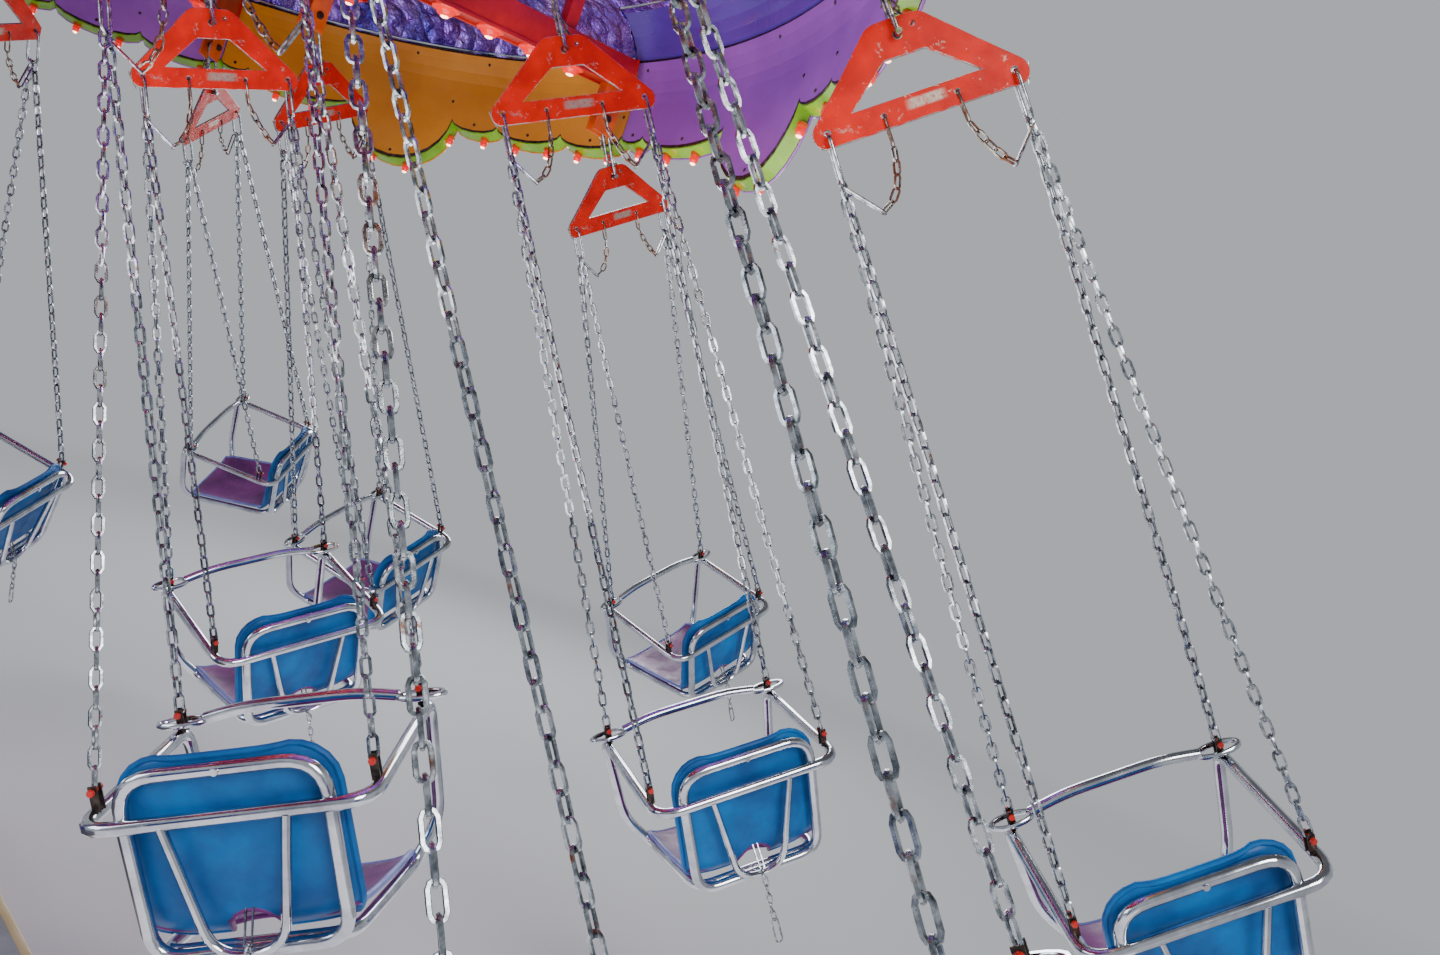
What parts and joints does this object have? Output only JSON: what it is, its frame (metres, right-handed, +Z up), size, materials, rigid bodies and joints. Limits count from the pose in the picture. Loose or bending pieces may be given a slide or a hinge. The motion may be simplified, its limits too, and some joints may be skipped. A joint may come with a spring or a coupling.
{
  "type": "chair swing ride",
  "caption": "Chair swing ride caught in flight: red hangers and chrome chairs on long chains under a scalloped violet and amber canopy.",
  "frame": {"origin": "centre of the base on the ground, under the mast axis", "axes": "+Z up along the mast; +X along the main arm that carries the first outer and inner swings; the crown turns counter-clockwise seen from above"},
  "size_m": [8.1768, 8.0884, 4.43],
  "materials": {
    "mast_paint": "gloss paint, worn at the edges",
    "red_frame": "gloss red paint",
    "hanger_red": "bright red paint, scraped to bare steel in patches",
    "chair_chrome": "polished tube with rubbed spots",
    "chain_steel": "galvanised chain links",
    "shell_blue": "satin moulded seat back",
    "pan_purple": "satin moulded seat pan",
    "violet_panel": "glossy moulded panel",
    "amber_panel": "glossy moulded panel",
    "rim_green": "glossy edge band",
    "ceiling_foil": "shiny crinkled blue-purple lining",
    "roof_paint": "glossy moulded roof",
    "bulb_red": "red lamp glass"
  },
  "bodies": {
    "base": {"base_mast": "mast_paint"},
    "crown": {"crown_frame": "red_frame", "crown_ceiling": "ceiling_foil", "crown_roof": "roof_paint", "canopy_panel_1": "violet_panel", "canopy_panel_2": "amber_panel", "canopy_panel_3": "violet_panel", "canopy_panel_4": "amber_panel", "canopy_panel_5": "violet_panel", "canopy_panel_6": "amber_panel", "canopy_panel_7": "violet_panel", "canopy_panel_8": "amber_panel"},
    "swing_outer_1_hanger": {"swing_outer_1_hanger": "hanger_red"},
    "swing_outer_1_chair": {"swing_outer_1_chair": "chair_chrome"},
    "swing_outer_2_hanger": {"swing_outer_2_hanger": "hanger_red"},
    "swing_outer_2_chair": {"swing_outer_2_chair": "chair_chrome"},
    "swing_outer_3_hanger": {"swing_outer_3_hanger": "hanger_red"},
    "swing_outer_3_chair": {"swing_outer_3_chair": "chair_chrome"},
    "swing_outer_4_hanger": {"swing_outer_4_hanger": "hanger_red"},
    "swing_outer_4_chair": {"swing_outer_4_chair": "chair_chrome"},
    "swing_outer_5_hanger": {"swing_outer_5_hanger": "hanger_red"},
    "swing_outer_5_chair": {"swing_outer_5_chair": "chair_chrome"},
    "swing_outer_6_hanger": {"swing_outer_6_hanger": "hanger_red"},
    "swing_outer_6_chair": {"swing_outer_6_chair": "chair_chrome"},
    "swing_outer_7_hanger": {"swing_outer_7_hanger": "hanger_red"},
    "swing_outer_7_chair": {"swing_outer_7_chair": "chair_chrome"},
    "swing_outer_8_hanger": {"swing_outer_8_hanger": "hanger_red"},
    "swing_outer_8_chair": {"swing_outer_8_chair": "chair_chrome"},
    "swing_mid_1_hanger": {"swing_mid_1_hanger": "hanger_red"},
    "swing_mid_1_chair": {"swing_mid_1_chair": "chair_chrome"},
    "swing_mid_2_hanger": {"swing_mid_2_hanger": "hanger_red"},
    "swing_mid_2_chair": {"swing_mid_2_chair": "chair_chrome"},
    "swing_mid_3_hanger": {"swing_mid_3_hanger": "hanger_red"},
    "swing_mid_3_chair": {"swing_mid_3_chair": "chair_chrome"},
    "swing_mid_4_hanger": {"swing_mid_4_hanger": "hanger_red"},
    "swing_mid_4_chair": {"swing_mid_4_chair": "chair_chrome"},
    "swing_mid_5_hanger": {"swing_mid_5_hanger": "hanger_red"},
    "swing_mid_5_chair": {"swing_mid_5_chair": "chair_chrome"},
    "swing_mid_6_hanger": {"swing_mid_6_hanger": "hanger_red"},
    "swing_mid_6_chair": {"swing_mid_6_chair": "chair_chrome"},
    "swing_mid_7_hanger": {"swing_mid_7_hanger": "hanger_red"},
    "swing_mid_7_chair": {"swing_mid_7_chair": "chair_chrome"},
    "swing_mid_8_hanger": {"swing_mid_8_hanger": "hanger_red"},
    "swing_mid_8_chair": {"swing_mid_8_chair": "chair_chrome"},
    "swing_inner_1_hanger": {"swing_inner_1_hanger": "hanger_red"},
    "swing_inner_1_chair": {"swing_inner_1_chair": "chair_chrome"},
    "swing_inner_2_hanger": {"swing_inner_2_hanger": "hanger_red"},
    "swing_inner_2_chair": {"swing_inner_2_chair": "chair_chrome"},
    "swing_inner_3_hanger": {"swing_inner_3_hanger": "hanger_red"},
    "swing_inner_3_chair": {"swing_inner_3_chair": "chair_chrome"},
    "swing_inner_4_hanger": {"swing_inner_4_hanger": "hanger_red"},
    "swing_inner_4_chair": {"swing_inner_4_chair": "chair_chrome"},
    "swing_inner_5_hanger": {"swing_inner_5_hanger": "hanger_red"},
    "swing_inner_5_chair": {"swing_inner_5_chair": "chair_chrome"},
    "swing_inner_6_hanger": {"swing_inner_6_hanger": "hanger_red"},
    "swing_inner_6_chair": {"swing_inner_6_chair": "chair_chrome"},
    "swing_inner_7_hanger": {"swing_inner_7_hanger": "hanger_red"},
    "swing_inner_7_chair": {"swing_inner_7_chair": "chair_chrome"},
    "swing_inner_8_hanger": {"swing_inner_8_hanger": "hanger_red"},
    "swing_inner_8_chair": {"swing_inner_8_chair": "chair_chrome"}
  },
  "joints": [
    {"name": "crown_spin", "type": "hinge", "parent": "base", "child": "crown", "pos_m": [0, 0, 2.695], "axis": [0, 0, 1], "continuous": true},
    {"name": "swing_outer_1_out", "type": "hinge", "parent": "crown", "child": "swing_outer_1_hanger", "pos_m": [2.555, 0, 2.9], "axis": [0, -1, 0], "range_deg": [-37, 8]},
    {"name": "swing_outer_1_sway", "type": "hinge", "parent": "swing_outer_1_hanger", "child": "swing_outer_1_chair", "pos_m": [2.76263, 0, 2.62447], "axis": [0.7986, 0, 0.6018], "range_deg": [-22, 8]},
    {"name": "swing_outer_2_out", "type": "hinge", "parent": "crown", "child": "swing_outer_2_hanger", "pos_m": [1.80666, 1.80666, 2.9], "axis": [0.7071, -0.7071, 0], "range_deg": [-35.3, 8]},
    {"name": "swing_outer_2_sway", "type": "hinge", "parent": "swing_outer_2_hanger", "child": "swing_outer_2_chair", "pos_m": [1.94763, 1.94763, 2.61843], "axis": [0.5771, 0.5771, 0.5779], "range_deg": [-15, 15]},
    {"name": "swing_outer_3_out", "type": "hinge", "parent": "crown", "child": "swing_outer_3_hanger", "pos_m": [0, 2.555, 2.9], "axis": [1, 0, 0], "range_deg": [-35.2, 8]},
    {"name": "swing_outer_3_sway", "type": "hinge", "parent": "swing_outer_3_hanger", "child": "swing_outer_3_chair", "pos_m": [0, 2.75387, 2.61809], "axis": [0, 0.8171, 0.5764], "range_deg": [-7, 23]},
    {"name": "swing_outer_4_out", "type": "hinge", "parent": "crown", "child": "swing_outer_4_hanger", "pos_m": [-1.80666, 1.80666, 2.9], "axis": [0.7071, 0.7071, 0], "range_deg": [-36.8, 8]},
    {"name": "swing_outer_4_sway", "type": "hinge", "parent": "swing_outer_4_hanger", "child": "swing_outer_4_chair", "pos_m": [-1.95279, 1.95279, 2.62375], "axis": [-0.5662, 0.5662, 0.599], "range_deg": [-18, 12]},
    {"name": "swing_outer_5_out", "type": "hinge", "parent": "crown", "child": "swing_outer_5_hanger", "pos_m": [-2.555, 0, 2.9], "axis": [0, 1, 0], "range_deg": [-37, 8]},
    {"name": "swing_outer_5_sway", "type": "hinge", "parent": "swing_outer_5_hanger", "child": "swing_outer_5_chair", "pos_m": [-2.76263, 0, 2.62447], "axis": [-0.7986, 0, 0.6018], "range_deg": [-22, 8]},
    {"name": "swing_outer_6_out", "type": "hinge", "parent": "crown", "child": "swing_outer_6_hanger", "pos_m": [-1.80666, -1.80666, 2.9], "axis": [-0.7071, 0.7071, 0], "range_deg": [-35.3, 8]},
    {"name": "swing_outer_6_sway", "type": "hinge", "parent": "swing_outer_6_hanger", "child": "swing_outer_6_chair", "pos_m": [-1.94763, -1.94763, 2.61843], "axis": [-0.5771, -0.5771, 0.5779], "range_deg": [-15, 15]},
    {"name": "swing_outer_7_out", "type": "hinge", "parent": "crown", "child": "swing_outer_7_hanger", "pos_m": [0, -2.555, 2.9], "axis": [-1, 0, 0], "range_deg": [-35.2, 8]},
    {"name": "swing_outer_7_sway", "type": "hinge", "parent": "swing_outer_7_hanger", "child": "swing_outer_7_chair", "pos_m": [0, -2.75387, 2.61809], "axis": [0, -0.8171, 0.5764], "range_deg": [-7, 23]},
    {"name": "swing_outer_8_out", "type": "hinge", "parent": "crown", "child": "swing_outer_8_hanger", "pos_m": [1.80666, -1.80666, 2.9], "axis": [-0.7071, -0.7071, 0], "range_deg": [-36.8, 8]},
    {"name": "swing_outer_8_sway", "type": "hinge", "parent": "swing_outer_8_hanger", "child": "swing_outer_8_chair", "pos_m": [1.95279, -1.95279, 2.62375], "axis": [0.5662, -0.5662, 0.599], "range_deg": [-18, 12]},
    {"name": "swing_mid_1_out", "type": "hinge", "parent": "crown", "child": "swing_mid_1_hanger", "pos_m": [1.76184, 0.72978, 2.928], "axis": [0.3827, -0.9239, 0], "range_deg": [-30, 8]},
    {"name": "swing_mid_1_sway", "type": "hinge", "parent": "swing_mid_1_hanger", "child": "swing_mid_1_chair", "pos_m": [1.92121, 0.79579, 2.62922], "axis": [0.8001, 0.3314, 0.5], "range_deg": [-9, 21]},
    {"name": "swing_mid_2_out", "type": "hinge", "parent": "crown", "child": "swing_mid_2_hanger", "pos_m": [0.72978, 1.76184, 2.928], "axis": [0.9239, -0.3827, 0], "range_deg": [-31.8, 8]},
    {"name": "swing_mid_2_sway", "type": "hinge", "parent": "swing_mid_2_hanger", "child": "swing_mid_2_chair", "pos_m": [0.79935, 1.9298, 2.63479], "axis": [0.3252, 0.7852, 0.527], "range_deg": [-13, 17]},
    {"name": "swing_mid_3_out", "type": "hinge", "parent": "crown", "child": "swing_mid_3_hanger", "pos_m": [-0.72978, 1.76184, 2.928], "axis": [0.9239, 0.3827, 0], "range_deg": [-31.6, 8]},
    {"name": "swing_mid_3_sway", "type": "hinge", "parent": "swing_mid_3_hanger", "child": "swing_mid_3_chair", "pos_m": [-0.79896, 1.92885, 2.63415], "axis": [-0.3259, 0.7869, 0.524], "range_deg": [-17, 13]},
    {"name": "swing_mid_4_out", "type": "hinge", "parent": "crown", "child": "swing_mid_4_hanger", "pos_m": [-1.76184, 0.72978, 2.928], "axis": [0.3827, 0.9239, 0], "range_deg": [-34, 8]},
    {"name": "swing_mid_4_sway", "type": "hinge", "parent": "swing_mid_4_hanger", "child": "swing_mid_4_chair", "pos_m": [-1.94007, 0.80361, 2.64198], "axis": [-0.7659, 0.3173, 0.5592], "range_deg": [-16, 14]},
    {"name": "swing_mid_5_out", "type": "hinge", "parent": "crown", "child": "swing_mid_5_hanger", "pos_m": [-1.76184, -0.72978, 2.928], "axis": [-0.3827, 0.9239, 0], "range_deg": [-30, 8]},
    {"name": "swing_mid_5_sway", "type": "hinge", "parent": "swing_mid_5_hanger", "child": "swing_mid_5_chair", "pos_m": [-1.92121, -0.79579, 2.62922], "axis": [-0.8001, -0.3314, 0.5], "range_deg": [-9, 21]},
    {"name": "swing_mid_6_out", "type": "hinge", "parent": "crown", "child": "swing_mid_6_hanger", "pos_m": [-0.72978, -1.76184, 2.928], "axis": [-0.9239, 0.3827, 0], "range_deg": [-31.8, 8]},
    {"name": "swing_mid_6_sway", "type": "hinge", "parent": "swing_mid_6_hanger", "child": "swing_mid_6_chair", "pos_m": [-0.79935, -1.9298, 2.63479], "axis": [-0.3252, -0.7852, 0.527], "range_deg": [-13, 17]},
    {"name": "swing_mid_7_out", "type": "hinge", "parent": "crown", "child": "swing_mid_7_hanger", "pos_m": [0.72978, -1.76184, 2.928], "axis": [-0.9239, -0.3827, 0], "range_deg": [-31.6, 8]},
    {"name": "swing_mid_7_sway", "type": "hinge", "parent": "swing_mid_7_hanger", "child": "swing_mid_7_chair", "pos_m": [0.79896, -1.92885, 2.63415], "axis": [0.3259, -0.7869, 0.524], "range_deg": [-17, 13]},
    {"name": "swing_mid_8_out", "type": "hinge", "parent": "crown", "child": "swing_mid_8_hanger", "pos_m": [1.76184, -0.72978, 2.928], "axis": [-0.3827, -0.9239, 0], "range_deg": [-34, 8]},
    {"name": "swing_mid_8_sway", "type": "hinge", "parent": "swing_mid_8_hanger", "child": "swing_mid_8_chair", "pos_m": [1.94007, -0.80361, 2.64198], "axis": [0.7659, -0.3173, 0.5592], "range_deg": [-16, 14]},
    {"name": "swing_inner_1_out", "type": "hinge", "parent": "crown", "child": "swing_inner_1_hanger", "pos_m": [1.152, 0, 2.742], "axis": [0, -1, 0], "range_deg": [-24.6, 8]},
    {"name": "swing_inner_1_sway", "type": "hinge", "parent": "swing_inner_1_hanger", "child": "swing_inner_1_chair", "pos_m": [1.29562, 0, 2.42831], "axis": [0.9092, 0, 0.4163], "range_deg": [-13, 17]},
    {"name": "swing_inner_2_out", "type": "hinge", "parent": "crown", "child": "swing_inner_2_hanger", "pos_m": [0.81459, 0.81459, 2.742], "axis": [0.7071, -0.7071, 0], "range_deg": [-24.8, 8]},
    {"name": "swing_inner_2_sway", "type": "hinge", "parent": "swing_inner_2_hanger", "child": "swing_inner_2_chair", "pos_m": [0.91691, 0.91691, 2.42882], "axis": [0.6419, 0.6419, 0.4195], "range_deg": [-16, 14]},
    {"name": "swing_inner_3_out", "type": "hinge", "parent": "crown", "child": "swing_inner_3_hanger", "pos_m": [0, 1.152, 2.742], "axis": [1, 0, 0], "range_deg": [-24.7, 8]},
    {"name": "swing_inner_3_sway", "type": "hinge", "parent": "swing_inner_3_hanger", "child": "swing_inner_3_chair", "pos_m": [0, 1.29616, 2.42856], "axis": [0, 0.9085, 0.4179], "range_deg": [-16, 14]},
    {"name": "swing_inner_4_out", "type": "hinge", "parent": "crown", "child": "swing_inner_4_hanger", "pos_m": [-0.81459, 0.81459, 2.742], "axis": [0.7071, 0.7071, 0], "range_deg": [-24.3, 8]},
    {"name": "swing_inner_4_sway", "type": "hinge", "parent": "swing_inner_4_hanger", "child": "swing_inner_4_chair", "pos_m": [-0.91498, 0.91498, 2.42757], "axis": [-0.6445, 0.6445, 0.4115], "range_deg": [-13, 17]},
    {"name": "swing_inner_5_out", "type": "hinge", "parent": "crown", "child": "swing_inner_5_hanger", "pos_m": [-1.152, 0, 2.742], "axis": [0, 1, 0], "range_deg": [-24.6, 8]},
    {"name": "swing_inner_5_sway", "type": "hinge", "parent": "swing_inner_5_hanger", "child": "swing_inner_5_chair", "pos_m": [-1.29562, 0, 2.42831], "axis": [-0.9092, 0, 0.4163], "range_deg": [-13, 17]},
    {"name": "swing_inner_6_out", "type": "hinge", "parent": "crown", "child": "swing_inner_6_hanger", "pos_m": [-0.81459, -0.81459, 2.742], "axis": [-0.7071, 0.7071, 0], "range_deg": [-24.8, 8]},
    {"name": "swing_inner_6_sway", "type": "hinge", "parent": "swing_inner_6_hanger", "child": "swing_inner_6_chair", "pos_m": [-0.91691, -0.91691, 2.42882], "axis": [-0.6419, -0.6419, 0.4195], "range_deg": [-16, 14]},
    {"name": "swing_inner_7_out", "type": "hinge", "parent": "crown", "child": "swing_inner_7_hanger", "pos_m": [0, -1.152, 2.742], "axis": [-1, 0, 0], "range_deg": [-24.7, 8]},
    {"name": "swing_inner_7_sway", "type": "hinge", "parent": "swing_inner_7_hanger", "child": "swing_inner_7_chair", "pos_m": [0, -1.29616, 2.42856], "axis": [0, -0.9085, 0.4179], "range_deg": [-16, 14]},
    {"name": "swing_inner_8_out", "type": "hinge", "parent": "crown", "child": "swing_inner_8_hanger", "pos_m": [0.81459, -0.81459, 2.742], "axis": [-0.7071, -0.7071, 0], "range_deg": [-24.3, 8]},
    {"name": "swing_inner_8_sway", "type": "hinge", "parent": "swing_inner_8_hanger", "child": "swing_inner_8_chair", "pos_m": [0.91498, -0.91498, 2.42757], "axis": [0.6445, -0.6445, 0.4115], "range_deg": [-13, 17]}
  ]
}
